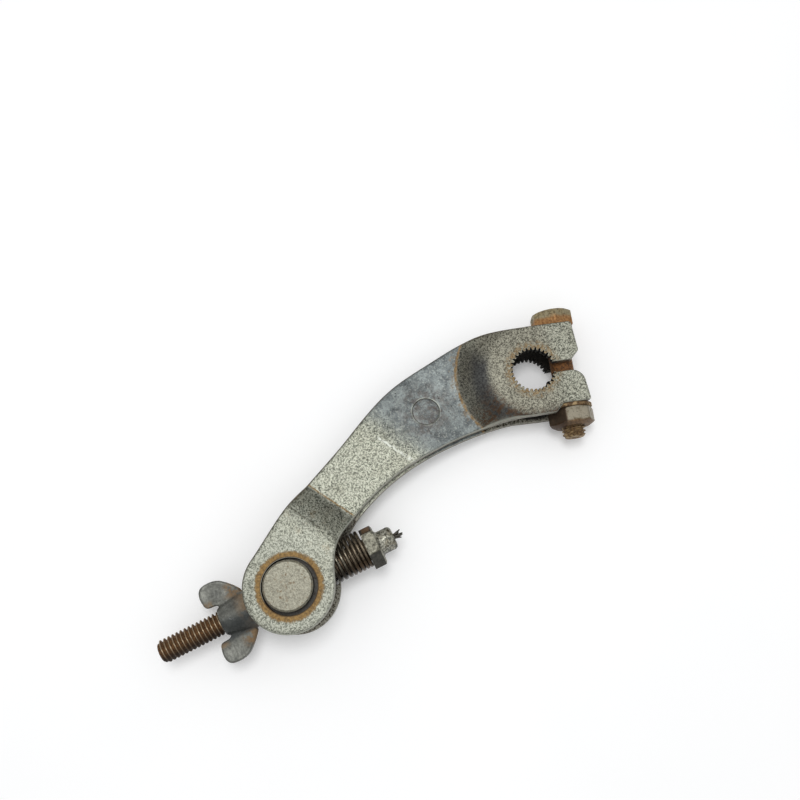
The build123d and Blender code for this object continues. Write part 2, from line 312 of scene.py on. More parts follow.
def arc_through(first, second, third, step):
    """Points of the clockwise arc through three points, both ends included."""
    (ax, ay), (bx, by), (cx, cy) = first, second, third
    m = np.array([[bx - ax, by - ay], [cx - ax, cy - ay]]) * 2
    centre = np.linalg.solve(m, [bx * bx + by * by - ax * ax - ay * ay, cx * cx + cy * cy - ax * ax - ay * ay])
    radius = math.dist(first, centre)
    start = math.atan2(ay - centre[1], ax - centre[0])
    sweep = (start - math.atan2(cy - centre[1], cx - centre[0])) % (2 * pi)
    count = round(sweep * radius / step)
    angles = [start - sweep * i / count for i in range(count + 1)]
    return [(centre[0] + radius * cos(a), centre[1] + radius * sin(a)) for a in angles]


def tooth_loop(rng):
    """The serrated bore from the head's side of the slot round to the nut's side, in slot angles."""
    pitch = 360 / TOOTH_COUNT
    half = pitch * (1 - TOOTH_LAND) / 2
    gap = math.degrees(math.asin(SLOT_HALF / TIP_R))
    points = []
    for i in range(1, TOOTH_COUNT - 1):
        middle = pitch * (i + 0.5)
        root = TIP_R + TOOTH_DEPTH * rng.uniform(0.80, 1.0)
        tip = TIP_R + rng.uniform(0.0, 0.07)
        low = max(middle - half, gap + 0.6)
        high = min(middle + half, 360 - gap - 0.6)
        points += [(low, tip), (middle - 0.45 * half, root - 0.25), (middle, root)]
        points += [(middle + 0.45 * half, root - 0.25), (high, tip)]
    return points


def plate_loop(swing, proud, seed):
    """The plate's outer loop with its slot and bore, and the width of the rolled edge at each point."""
    rng = random.Random(seed)
    step = 0.8
    c = cos(radians(swing))
    s = sin(radians(swing))

    def swung(p):
        return (p[0] * c - p[1] * s, p[0] * s + p[1] * c)

    def at(u, v, radius=0.0):
        return (*slot_xy(u, v), radius)

    points = []
    widths = []

    def add(new, width):
        points.extend(new)
        widths.extend([width] * len(new))

    inner_u = sqrt(TIP_R ** 2 - SLOT_HALF ** 2)
    head_jaw = rounded_path([
        at(-12.0, -HEAD_SEAT),
        at(JAW_REACH + HEAD_JAW_LEAN, -HEAD_SEAT, 1.2),
        at(JAW_REACH, -SLOT_HALF - 3.0, 1.0),
        at(JAW_REACH - 3.0, -SLOT_HALF, 1.0),
        at(inner_u + 0.1, -SLOT_HALF),
    ], step)
    add(head_jaw, 0.45)
    bore = []
    for angle, radius in tooth_loop(rng):
        a = radians(SLOT_ANGLE + angle)
        bore.append((radius * cos(a), radius * sin(a)))
    add(bore, 0.13)
    nut_jaw = rounded_path([
        at(inner_u + 0.1, SLOT_HALF),
        at(JAW_REACH + 0.1, SLOT_HALF, 4.6),
        at(JAW_REACH + NUT_JAW_LEAN, NUT_SEAT, 0.7),
        at(SEAT_START, NUT_SEAT, 0.25),
        at(SEAT_START - (HEEL_EDGE - NUT_SEAT), HEEL_EDGE, 0.8),
        at(-6.0, HEEL_EDGE),
    ], step)
    add(nut_jaw, 0.40)

    def eye_point(angle, slim=0.0):
        a = radians(angle)
        return (PIN_DISTANCE + (EYE_R - slim) * cos(a), (EYE_R - slim) * sin(a))

    heel = slot_xy(-6.0, HEEL_EDGE)
    hollow_points = [heel] + [swung((x, y + proud)) for x, y in HOLLOW_SIDE] + [swung(eye_point(142))]
    into_eye = (cos(radians(52 + swing)), sin(radians(52 + swing)))
    add(spline(hollow_points, slot_xy(-1, 0), into_eye, step)[1:], 0.75)
    eye = arc_through(eye_point(142), eye_point(33), eye_point(-75, EYE_SLIM), step)
    add([swung(p) for p in eye[:-1]], 0.75)
    back_points = [swung(eye_point(-75, EYE_SLIM))] + [swung(p) for p in BACK_SIDE] + [slot_xy(-12.0, -HEAD_SEAT)]
    out_of_eye = (cos(radians(195 + swing)), sin(radians(195 + swing)))
    add(spline(back_points, out_of_eye, slot_xy(1, 0), step), 0.75)
    loop = np.array(points)
    width = np.array(widths)
    blend = np.ones(5) / 5
    near_bore = width < 0.2
    width = np.convolve(np.concatenate([width[-2:], width, width[:2]]), blend, "valid")
    width[near_bore] = 0.13
    return loop, width


def circle_loop(centre, radius, count):
    a = np.arange(count) * 2 * pi / count
    return np.stack([centre[0] + radius * np.cos(-a), centre[1] + radius * np.sin(-a)], 1)


def inward(loop):
    """Unit normals of a closed loop that point into the plate, which lies on the loop's right side."""
    before = loop - np.roll(loop, 1, 0)
    after = np.roll(loop, -1, 0) - loop
    before /= np.linalg.norm(before, axis=1)[:, None]
    after /= np.linalg.norm(after, axis=1)[:, None]
    t = before + after
    t /= np.maximum(np.linalg.norm(t, axis=1), 1e-6)[:, None]
    return np.stack([t[:, 1], -t[:, 0]], 1)


def inside(points, loops):
    """Whether each point lies inside the loops, by crossings."""
    hit = np.zeros(len(points), bool)
    for loop in loops:
        for (x0, y0), (x1, y1) in zip(loop, np.roll(loop, -1, 0)):
            if y0 == y1:
                continue
            crosses = (points[:, 1] > y0) != (points[:, 1] > y1)
            x = x0 + (points[:, 1] - y0) * (x1 - x0) / (y1 - y0)
            hit ^= crosses & (points[:, 0] < x)
    return hit


def clearance(points, loops):
    best = np.full(len(points), 1e9)
    for loop in loops:
        for q in loop:
            best = np.minimum(best, np.hypot(points[:, 0] - q[0], points[:, 1] - q[1]))
    return best


# Pressed heights

def soft_max(a, b, width):
    return 0.5 * (a + b + np.sqrt((a - b) ** 2 + width ** 2))


def bend_distance(x, y):
    return x * cos(radians(BEND_ANGLE)) + y * sin(radians(BEND_ANGLE))


def arm_height(d, side, skin):
    """The arm's surface on that side: level at the clamp, up the crank, then level."""
    slope = SEAM_LIFT / CRANK_RUN
    mitre = side * skin * tan(math.atan(slope) / 2)
    low = CRANK_AT - CRANK_RUN - mitre
    high = CRANK_AT - mitre
    rise = slope * (soft_max(d, low, 1.5) - soft_max(d, high, 1.5))
    return SEAM_LIFT + rise + side * skin


def step_height(distance, foot, run, rise, skin):
    """A pressed step: level at its top, with a rounded shoulder and a ramp down to its foot."""
    slope = rise / run
    top = rise + skin
    line_z = PLATE_T + (skin - PLATE_T) * math.hypot(1, slope)
    ramp = line_z + (distance - foot) * slope
    level = np.full_like(distance, top)
    radius = ROUND_TOP - PLATE_T + skin
    width = radius * (1 / cos(math.atan(slope)) - 1) * 2
    return -soft_max(-ramp, -level, width)


def plate_height(x, y, side, skin):
    """Height of the plate's face that lies skin outside the seam, on the side's hand."""
    d = bend_distance(x, y)
    r = np.hypot(x, y)
    a = radians(SLOT_ANGLE)
    u = x * cos(a) + y * sin(a)
    arm = side * arm_height(d, side, skin)
    clamp = step_height(-np.where(u > 0, np.minimum(r, 10.0), r), -DISH_FOOT_R, DISH_FOOT_R - DISH_TOP_R,
                        CLAMP_GAP / 2, skin)
    fork = side * SEAM_LIFT + step_height(d, RAMP_AT, RAMP_RUN, FORK_GAP / 2, skin)
    crease = 0.30 if skin else 0.05
    return side * soft_max(soft_max(arm, clamp, crease), fork, crease)


def fill(loops, spacing, margin):
    """Triangles over the area inside the loops. Returns the added inner points and the triangles."""
    everything = np.concatenate(loops)
    low = everything.min(0)
    high = everything.max(0)
    rows = np.arange(low[1], high[1], spacing * 0.866)
    columns = np.arange(low[0], high[0], spacing)
    grid = [(x + (j % 2) * spacing / 2, y) for j, y in enumerate(rows) for x in columns]
    grid = np.array(grid)
    grid = grid[inside(grid, loops)]
    grid = grid[clearance(grid, loops) > margin]
    verts = [Vector(p) for p in everything] + [Vector(p) for p in grid]
    edges = []
    start = 0
    for loop in loops:
        n = len(loop)
        edges += [(start + i, start + (i + 1) % n) for i in range(n)]
        start += n
    co, _, tris, origin, _, _ = delaunay_2d_cdt(verts, edges, [], 0, 1e-5)
    source = [o[0] if o else -1 for o in origin]
    middles = np.array([np.mean([co[i] for i in t], axis=0) for t in tris])
    keep = inside(middles, loops)
    out = [tuple(source[i] for i in t) for t, k in zip(tris, keep) if k]
    return grid, [t for t in out if -1 not in t]


def uneven(x, y, z, size, amount, seed):
    return amount * noise.noise(Vector((x / size + seed, y / size - seed, z / size + 2.3 * seed)))


def spring_room(p):
    """How far the inner face stands back: a little everywhere, more where the spring swings closest."""
    x, y = SPRING_NEAR
    return 0.03 + 0.35 * np.exp(-((p[:, 0] - x) ** 2 + (p[:, 1] - y) ** 2) / 30)


def pressed_plate(name, side):
    """A plate on the side's hand: its outer face with rolled edges, its sheared side and its inner face."""
    swing, proud = (0, 0) if side > 0 else (REAR_SWING, REAR_PROUD)
    loop, width = plate_loop(swing, proud, 4 + side)
    loops = [loop, circle_loop(HOLE_AT, HOLE_R, 96), circle_loop(RIVET_AT, RIVET_R, 64)]
    widths = [width, np.full(96, 0.35), np.full(64, 0.10)]
    normals = [inward(loops[0])] + [-inward(hole) for hole in loops[1:]]
    rings = []
    for theta in (0, 22.5, 45, 67.5, 90):
        t = radians(theta)
        rings.append([(lp + n * (w * (1 - sin(t)))[:, None], w * 0.9 * (1 - cos(t)))
                      for lp, n, w in zip(loops, normals, widths)])
    verts = []
    faces = []
    count = sum(len(lp) for lp in loops)

    def face_z(p, skin, drop):
        return plate_height(p[:, 0], p[:, 1], side, skin) - side * drop

    def waved(points, heights):
        return [(x, y, z + side * uneven(x, y, 0, 7.0, 0.10, 1.7 * side)) for (x, y), z in zip(points, heights)]

    def fan(rim, tris):
        """Adds triangles whose first vertices lie on a ring and whose others come next."""
        base = len(verts)
        faces.extend(tuple(rim + i if i < count else base + i - count for i in t) for t in tris)

    starts = []
    for ring in rings:
        starts.append(len(verts))
        for points, drop in ring:
            verts += waved(points, face_z(points, PLATE_T, drop))
    for inset, part in ((-0.02, 0.55), (0.04, 0.08), (0.16, 0.0)):
        starts.append(len(verts))
        for lp, n, w in zip(loops, normals, widths):
            limit = np.minimum(w, 1.0) * 0.8
            points = lp + n * np.clip(np.full(len(lp), inset), -0.02, limit)[:, None]
            low = face_z(points, 0.0, 0.0) + side * spring_room(points)
            high = face_z(points, PLATE_T, 0.0)
            rough = [uneven(p[0], p[1], 5, 1.1, 0.05, 3.1) for p in points]
            z = low + (high - low) * part
            verts += [(p[0] + n_[0] * k, p[1] + n_[1] * k, q) for p, q, n_, k in zip(points, z, n, rough)]
    bounds = [(sum(len(lp) for lp in loops[:i]), len(loops[i])) for i in range(len(loops))]
    for a, b in zip(starts, starts[1:]):
        for first, n in bounds:
            strip(faces, a + first, b + first, n)
    top_loops = [points for points, _ in rings[0]]
    grid, tris = fill(top_loops, 0.8, 0.45)
    fan(starts[0], tris)
    verts += waved(grid, face_z(grid, PLATE_T, 0.0))
    low_loops = [np.array([verts[starts[-1] + first + i][:2] for i in range(n)]) for first, n in bounds]
    grid, tris = fill(low_loops, 1.6, 0.8)
    fan(starts[-1], tris)
    verts += [(*p, z) for p, z in zip(grid, face_z(grid, 0.0, 0.0) + side * spring_room(grid))]
    return new_object(name, (verts, faces), smooth_angle=50)


def flush_rivet():
    """The rivet's two set heads, level with the plates, and its shank between them."""
    rings = []

    def level(side, r, a, drop):
        x = RIVET_AT[0] + r * cos(a)
        y = RIVET_AT[1] + r * sin(a)
        z = plate_height(np.array([x]), np.array([y]), side, PLATE_T)[0]
        return z - side * drop

    edge = RIVET_R - 0.02
    profile = [(0.4, 0.05), (2.0, 0.04), (3.4, 0.0), (4.35, -0.01), (4.55, 0.05), (edge, 0.16)]
    for side, order in ((1, profile), (-1, profile[::-1])):
        for r, drop in order:
            rings.append(lambda a, r=r, s=side, d=drop: (r, level(s, r, a, d)))
    place = Matrix.Translation((*RIVET_AT, 0))
    return new_object("rivet", polar_surface(rings, 64), place, smooth_angle=60)


# Fasteners

def hex_radius(angle, af, corner_r, turn=0.0):
    """Distance from the axis to a hexagon with slightly rounded corners."""
    a = (angle - radians(turn) + pi / 6) % (pi / 3) - pi / 6
    return min(af / 2 / cos(pi / 6 - abs(a)), corner_r)


def hex_solid(af, height, turn, low_r=0.0, high_r=0.0, bore=0.0, corner=0.985):
    """A hexagon with its ends turned down to the given radii, as nuts and bolt heads have."""
    corner_r = af / 2 / cos(pi / 6) * corner
    rise = tan(radians(30))
    soft = 0.12

    def edge(a):
        return hex_radius(a, af, corner_r, turn)

    def cut(a, end_r):
        return max(0.0, edge(a) - end_r) * rise

    def end_rings(end_r):
        """Rings from the middle of an end out to the sides, with heights down from the end."""
        if bore:
            rings = [(bore, height * 0.5), (bore, 0.5), (bore + 0.5, 0.0)]
        else:
            rings = [(0.3, 0.0), (af * 0.27, 0.0)]
        if not end_r:
            return rings + [lambda a: (edge(a) - soft, 0.0), lambda a: (edge(a), soft)]
        return rings + [(end_r - soft, 0.0),
                        lambda a: (min(edge(a), end_r + soft), soft * rise),
                        lambda a: (edge(a) - soft * 0.5, max(cut(a, end_r) - soft * 0.3, soft * rise)),
                        lambda a: (edge(a), cut(a, end_r) + soft)]

    def turned_over(ring):
        def over(a):
            r, z = ring(a) if callable(ring) else ring
            return r, height - z
        return over

    rings = end_rings(low_r) + [lambda a: (edge(a), height * 0.5)]
    rings += [turned_over(ring) for ring in reversed(end_rings(high_r))]
    return polar_surface(rings, 144, close=not bore)


def thread_radius(phase, major, pitch, depth_share=0.61):
    """A vee thread with a narrow crest and a rounded root, over one turn of phase."""
    depth = depth_share * pitch
    p = abs((phase % 1.0) - 0.5) * 2
    crest = 0.16
    k = max(0.0, (1 - crest - p) / (1 - crest))
    k = sin(min(1.0, k * 1.05) * pi / 2) ** 1.25
    return major / 2 - depth * k


def thread_surface(length, major, pitch, chamfer_low, chamfer_high, around=56, per_turn=10, seed=0):
    """A threaded length along Z from zero, both ends closed."""
    rings = [(0.25, 0.06), (major * 0.22, 0.02), (major / 2 - chamfer_low - 0.25, 0.0)]
    count = round(length / pitch * per_turn)
    for j in range(count + 1):
        z = length * j / count

        def ring(a, z=z):
            r = thread_radius(z / pitch - a / (2 * pi), major, pitch)
            r += 0.03 * noise.noise(Vector((3 * cos(a), 3 * sin(a), z * 1.3 + seed)))
            r = min(r, major / 2 - chamfer_low + z * 0.9) if chamfer_low else r
            r = min(r, major / 2 - chamfer_high + (length - z) * 0.9) if chamfer_high else r
            return r, z

        rings.append(ring)
    rings += [(major / 2 - chamfer_high - 0.25, length), (major * 0.22, length - 0.02), (0.25, length - 0.06)]
    return polar_surface(rings, around)


def round_bar(r, length, around):
    return polar_surface([(0.3, 0.0), (r, 0.0), (r, length * 0.5), (r, length), (0.3, length)], around)


def clamp_bolt():
    shape = hex_solid(HEAD_AF, HEAD_H, 1.0, low_r=HEAD_AF / 2 * 0.97)
    head = new_object("bolt_head", shape, bolt_frame(-HEAD_SEAT - HEAD_H, HEAD_OFF))
    reach = NUT_SEAT + WASHER_T + NUT_H
    covered = 8.0  # of the thread, inside the washer and nut
    shape = round_bar(BOLT_D / 2, HEAD_SEAT + reach - covered, 64)
    shank = new_object("bolt_shank", shape, bolt_frame(-HEAD_SEAT))
    shape = thread_surface(covered + BOLT_TAIL, BOLT_D, BOLT_PITCH, 0, 0.9, around=64, seed=5)
    tail = new_object("bolt_thread", shape, bolt_frame(reach - covered))
    return head, shank, tail


def lock_washer():
    """A split ring whose two ends stand a little apart."""
    verts = []
    faces = []
    inner = BOLT_D / 2 + 0.15
    outer = WASHER_OD / 2
    e = 0.2
    section = [(inner, e), (inner + e, 0), (outer - e, 0), (outer, e), (outer, WASHER_T - e),
               (outer - e, WASHER_T), (inner + e, WASHER_T), (inner, WASHER_T - e)]
    count = 72
    split = radians(200)
    gap = radians(9)
    for j in range(count + 1):
        share = j / count
        base = split + gap / 2 + (2 * pi - gap) * share
        for r, z in section:
            a = base + (z / WASHER_T - 0.5) * radians(8)
            verts.append((r * cos(a), r * sin(a), z))
    n = len(section)
    for j in range(count):
        strip(faces, j * n, (j + 1) * n, n)
    faces.append(tuple(range(n)))
    faces.append(tuple(range(count * n + n - 1, count * n - 1, -1)))
    return new_object("lock_washer", (verts, faces), bolt_frame(NUT_SEAT))


def clamp_nut():
    shape = hex_solid(NUT_AF, NUT_H, NUT_TURN, NUT_AF / 2 * 0.97, NUT_END_R, BOLT_D / 2 - 0.3)
    return new_object("nut", shape, bolt_frame(NUT_SEAT + WASHER_T))


# Cable adjuster

def rod_thread():
    shape = thread_surface(ROD_TIP + THREAD_END, ROD_D, ROD_PITCH, 0.9, 0, seed=1)
    return new_object("rod_thread", shape, rod_frame(-ROD_TIP))


def rod_shank():
    shape = round_bar(ROD_D / 2 - 0.05, SHOULDER_AT - THREAD_END, 56)
    return new_object("rod_shank", shape, rod_frame(THREAD_END))


def rod_hex():
    """The hexagon shoulder, bevelled round its cable end."""
    corner_r = HEX_AF / 2 / cos(pi / 6) * 0.988

    def edge(a):
        return hex_radius(a, HEX_AF, corner_r, HEX_TURN)

    profile = [(0.14, 0.0), (0.04, 0.04), (0.0, 0.16), (0.0, HEX_T / 2), (0.0, HEX_T - 0.60), (0.04, HEX_T - 0.48),
               (0.82, HEX_T - 0.05), (0.95, HEX_T)]
    rings = [(0.3, 0.0), (3.0, 0.0)]
    rings += [lambda a, k=k, z=z: (edge(a) - k, z) for k, z in profile]
    rings += [(3.0, HEX_T), (0.3, HEX_T)]
    return new_object("rod_hex", polar_surface(rings, 144), rod_frame(SHOULDER_AT))


def ferrule():
    """The swaged sleeve: a short barrel with a pressed-flat patch low on one side."""
    end = FERRULE_LEN
    crimp_at = radians(CRIMP_AT)
    mouth = 1.12

    def radius(a, z):
        base = FERRULE_D / 2
        fillet = 0.7 * max(0.0, 1 - z / 0.8) ** 2
        if z > end - 1.5:
            t = (z - end + 1.5) / 1.5
            base -= 1.15 * (1 - sqrt(max(0.0, 1 - t * t)))
        for centre in (crimp_at, crimp_at + pi):
            off = (a - centre + pi) % (2 * pi) - pi
            if abs(off) < 1.2:
                flat = (FERRULE_D / 2 - 0.55) / max(cos(off), 0.3)
                share = min(1.0, max(0.0, (z - end + CRIMP_LEN) / 0.7))
                base = base + (min(base, flat) - base) * share
        rough = 0.06 * noise.noise(Vector((2.6 * cos(a), 2.6 * sin(a), z * 0.9 + 7)))
        return base + fillet + rough

    rings = [(0.3, 0.0)] + [lambda a, z=end * j / 24: (radius(a, z), z) for j in range(25)]
    rings += [(mouth + 0.25, end), (mouth, end - 0.25), (mouth, end - 3.5), (0.3, end - 3.5)]
    return new_object("ferrule", polar_surface(rings, 72), rod_frame(SHOULDER_AT + HEX_T), smooth_angle=40)


def tube(points, radii, around, name, place):
    """A round bar along the points, closed at both ends."""
    pts = [Vector(p) for p in points]
    verts = []
    faces = []
    tangent = (pts[1] - pts[0]).normalized()
    side = tangent.orthogonal().normalized()
    for i, p in enumerate(pts):
        t = (pts[min(i + 1, len(pts) - 1)] - pts[max(i - 1, 0)]).normalized()
        side = (side - t * side.dot(t)).normalized()
        up = t.cross(side)
        for j in range(around):
            a = 2 * pi * j / around
            verts.append(p + (side * cos(a) + up * sin(a)) * radii[i])
    for i in range(len(pts) - 1):
        strip(faces, i * around, (i + 1) * around, around)
    faces.append(tuple(range(around - 1, -1, -1)))
    last = (len(pts) - 1) * around
    faces.append(tuple(range(last, last + around)))
    return new_object(name, (verts, faces), place, smooth_angle=60)


def return_spring():
    mean_r = (SPRING_OD - WIRE_D) / 2 - SPRING_SLIM
    run = SPRING_LEN - WIRE_D
    open_pitch = 2 * run / COILS - CLOSE_PITCH
    per_turn = 56
    points = []
    radii = []
    for i in range(COILS * per_turn + 1):
        turns = i / per_turn
        a = radians(SPRING_TURN) + 2 * pi * turns
        z = WIRE_D / 2 + open_pitch * turns - (open_pitch - CLOSE_PITCH) * turns ** 2 / (2 * COILS)
        points.append((mean_r * cos(a), mean_r * sin(a) - SPRING_OFF, z))
        radii.append(WIRE_D / 2 - 0.005)
    return tube(points, radii, 16, "spring", rod_frame(BARREL_REACH))


def frayed_wires():
    """Seven wires that leave the ferrule together and part at their broken ends."""
    rng = random.Random(11)
    wires = []
    end = SHOULDER_AT + HEX_T + FERRULE_LEN
    for i in range(7):
        around = radians(60 * i)
        off = 0 if i == 6 else STRAND_D
        length = (2.9, 2.2, 2.5, 1.8, 2.7, 2.1, 3.1)[i]
        lean = rng.uniform(0.25, 0.6)
        heading = around + rng.uniform(-0.6, 0.6)
        points = []
        radii = []
        for j in range(15):
            s = j / 14
            z = -3.2 + (length + 3.2) * s
            out = max(0.0, z) / length
            twist = around + 0.35 * z
            bend = lean * out ** 2 * 1.4
            points.append((off * cos(twist) + bend * cos(heading), off * sin(twist) + bend * sin(heading), z))
            radii.append(STRAND_D / 2 * (1 - 0.45 * out ** 3))
        wires.append(tube(points, radii, 10, f"wire_{i + 1}", rod_frame(end)))
    return wires


def wing_ear(sign):
    """One wing as rings inside its edge, thinner in the middle than at the rim."""
    start = (0.82, 0.57)
    finish = (-0.35, -0.94)
    edge = spline(WING_EDGE, start, finish, 0.35) + [WING_EDGE[-1]]
    root = [(4.75, HUB_LEN - 0.4), (4.75, 10.0), (4.75, 8.0), (4.75, WING_EDGE[0][1] + 0.3)]
    loop = np.array(edge + root)
    middle = np.array([8.9, 12.3])
    shares = [(1.0, 0.30), (0.985, 0.72), (0.95, 0.97), (0.90, 1.0), (0.80, 0.95), (0.55, 0.86), (0.2, 0.83)]
    verts = []
    faces = []
    n = len(loop)
    half = WING_T / 2
    for top in (1, -1):
        base = len(verts)
        for share, thick in shares:
            for p in loop:
                q = middle + (p - middle) * share
                near = 1.0 + 0.25 * max(0.0, 1 - (q[0] - 4.75) / 4.0)
                verts.append((sign * q[0], top * half * thick * near, q[1]))
        for j in range(len(shares) - 1):
            strip(faces, base + j * n, base + (j + 1) * n, n)
        last = base + (len(shares) - 1) * n
        faces.append(tuple(range(last, last + n)))
    strip(faces, 0, len(verts) // 2, n)
    return verts, faces


def wing_nut():
    bore = ROD_D / 2 + 0.08
    end = HUB_LEN + NOSE_LEN
    profile = [(bore, 0.0), (HUB_BASE_R - 0.5, 0.0), (HUB_BASE_R, 0.5), (HUB_TOP_R, HUB_LEN),
               (NOSE_R + 0.1, end - 0.15), (NOSE_R - 0.2, end), (bore, end), (bore, end / 2)]
    verts, faces = polar_surface(profile + profile[:1], 96, close=False)
    for sign in (1, -1):
        v, f = wing_ear(sign)
        faces += [tuple(i + len(verts) for i in face) for face in f]
        verts += v
    verts = [(y, x, z) for x, y, z in verts]
    ob = new_object("wing_nut", (verts, faces), Matrix.Scale(1 / MM, 4))
    remesh = ob.modifiers.new("remesh", "REMESH")
    remesh.mode = "VOXEL"
    remesh.voxel_size = 0.24
    smooth = ob.modifiers.new("smooth", "SMOOTH")
    smooth.iterations = 9
    smooth.factor = 0.6
    place = Matrix.Scale(MM, 4) @ rod_frame(-BARREL_REACH, flip=True)
    graph = bpy.context.evaluated_depsgraph_get()
    me = bpy.data.meshes.new_from_object(ob.evaluated_get(graph))
    bpy.data.objects.remove(ob)
    for v in me.vertices:
        co = v.co
        lump = 0.07 * noise.noise(co / 2.6) + 0.05 * noise.noise(co / 0.9)
        if math.hypot(co.x, co.y) > ROD_D / 2 + 0.6 and co.z > 0.4:
            co = co + v.normal * lump
        v.co = place @ co
    for f in me.polygons:
        f.use_smooth = True
    me.name = "wing_nut_cast"
    ob = bpy.data.objects.new("wing_nut_cast", me)
    bpy.context.scene.collection.objects.link(ob)
    return ob


# Materials

class Value:
    """An output of a material's node. Arithmetic on it adds math nodes."""

    def __init__(self, tree, socket):
        self.tree = tree
        self.socket = socket

    def __add__(self, other):
        return self.tree.math("ADD", self, other)

    def __radd__(self, other):
        return self.tree.math("ADD", other, self)

    def __sub__(self, other):
        return self.tree.math("SUBTRACT", self, other)

    def __rsub__(self, other):
        return self.tree.math("SUBTRACT", other, self)

    def __mul__(self, other):
        return self.tree.math("MULTIPLY", self, other)

    def __abs__(self):
        return self.tree.math("ABSOLUTE", self)


class Tree:
    """Short names for the nodes of one material."""

    def __init__(self, name):
        self.material = bpy.data.materials.new(name)
        self.material.use_nodes = True
        self.nodes = self.material.node_tree.nodes
        self.links = self.material.node_tree.links
        self.shader = self.nodes["Principled BSDF"]
        source = self.nodes.new("ShaderNodeTexCoord")
        self.coords = Value(self, source.outputs["Object"])
        self.normal = Value(self, source.outputs["Normal"])

    def put(self, value, socket):
        if isinstance(value, Value):
            self.links.new(value.socket, socket)
        else:
            socket.default_value = value

    def calculate(self, kind, operation, values, output=0):
        node = self.nodes.new(kind)
        node.operation = operation
        for value, socket in zip(values, node.inputs):
            self.put(value, socket)
        return Value(self, node.outputs[output])

    def math(self, operation, *values):
        return self.calculate("ShaderNodeMath", operation, values)

    def vector(self, operation, *values, output=0):
        return self.calculate("ShaderNodeVectorMath", operation, values, output)

    def most(self, *values):
        """The greatest of the values."""
        best = values[0]
        for value in values[1:]:
            best = self.math("MAXIMUM", best, value)
        return best

    def dot(self, direction, vector=None):
        return self.vector("DOT_PRODUCT", vector or self.coords, tuple(direction), output="Value")

    def along(self, direction):
        """How far the place lies along a direction, in millimetres."""
        return self.dot(Vector(direction) / MM)

    def distance(self, point):
        """Distance from the vertical line through a point, in millimetres."""
        apart = self.vector("MULTIPLY_ADD", self.coords, (1 / MM, 1 / MM, 0), (-point[0], -point[1], 0))
        return self.vector("LENGTH", apart, output="Value")

    def about_rod(self):
        """Distance to the rod's side and from its axis, in millimetres."""
        apart = self.vector("MULTIPLY_ADD", self.coords, (1 / MM, 1 / MM, 1 / MM), tuple(-ROD_MIDDLE))
        side = self.dot(ROD_SIDE, apart)
        up = self.dot((0, 0, 1), apart)
        return side, self.math("SQRT", side * side + up * up)

    def texture(self, kind, output, size, seed):
        node = self.nodes.new(f"ShaderNodeTex{kind}")
        setattr(node, f"{kind.lower()}_dimensions", "4D")
        node.inputs["W"].default_value = seed
        node.inputs["Scale"].default_value = 1 / (size * MM)
        self.put(self.coords, node.inputs["Vector"])
        return node, Value(self, node.outputs[output])

    def noise(self, size, detail, rough, seed):
        """Cloudy noise between 0 and 1 whose lumps are about that many millimetres."""
        node, value = self.texture("Noise", "Fac", size, seed)
        node.inputs["Detail"].default_value = detail
        node.inputs["Roughness"].default_value = rough
        return value

    def cells(self, size, seed):
        """Distance from the nearest of points strewn about that many millimetres apart."""
        return self.texture("Voronoi", "Distance", size, seed)[1]

    def step(self, value, low, high, out_low=0.0, out_high=1.0):
        """Smooth step from low to high; high may be the smaller."""
        node = self.nodes.new("ShaderNodeMapRange")
        node.interpolation_type = "SMOOTHSTEP"
        for name, setting in zip(("Value", "From Min", "From Max", "To Min", "To Max"),
                                 (value, low, high, out_low, out_high)):
            self.put(setting, node.inputs[name])
        return Value(self, node.outputs["Result"])

    def band(self, value, middle, half, soft):
        """1 within half of middle, falling to 0 over soft."""
        return self.step(abs(value - middle), half + soft, half)

    def mix(self, share, a, b):
        node = self.nodes.new("ShaderNodeMix")
        node.data_type = "RGBA"
        self.put(share, node.inputs["Factor"])
        self.put(srgb(a), node.inputs["A"])
        self.put(srgb(b), node.inputs["B"])
        return Value(self, node.outputs["Result"])

    def tones(self, value, low, high, a, b):
        """Colour a below low and b above high, blended between."""
        return self.mix(self.step(value, low, high), a, b)

    def paint(self, share, tone):
        """Lays a tone over the colour that the material has so far."""
        self.color = self.mix(share, self.color, tone)

    def bump(self, height, depth):
        """depth is in millimetres for a height of one."""
        node = self.nodes.new("ShaderNodeBump")
        node.inputs["Strength"].default_value = 1.0
        node.inputs["Distance"].default_value = depth * MM
        self.put(height, node.inputs["Height"])
        return Value(self, node.outputs["Normal"])

    def finish(self, metallic, roughness, normal, specular=0.5):
        for name, value in (("Base Color", self.color), ("Metallic", metallic), ("Roughness", roughness),
                            ("Normal", normal), ("Specular IOR Level", specular)):
            self.put(value, self.shader.inputs[name])
        return self.material


def srgb(value):
    """A colour given as three values of 0 to 255 becomes a scene colour; anything else passes."""
    if isinstance(value, tuple) and len(value) == 3:
        parts = [c / 255 for c in value]
        return (*(c / 12.92 if c <= 0.04045 else ((c + 0.055) / 1.055) ** 2.4 for c in parts), 1.0)
    return value


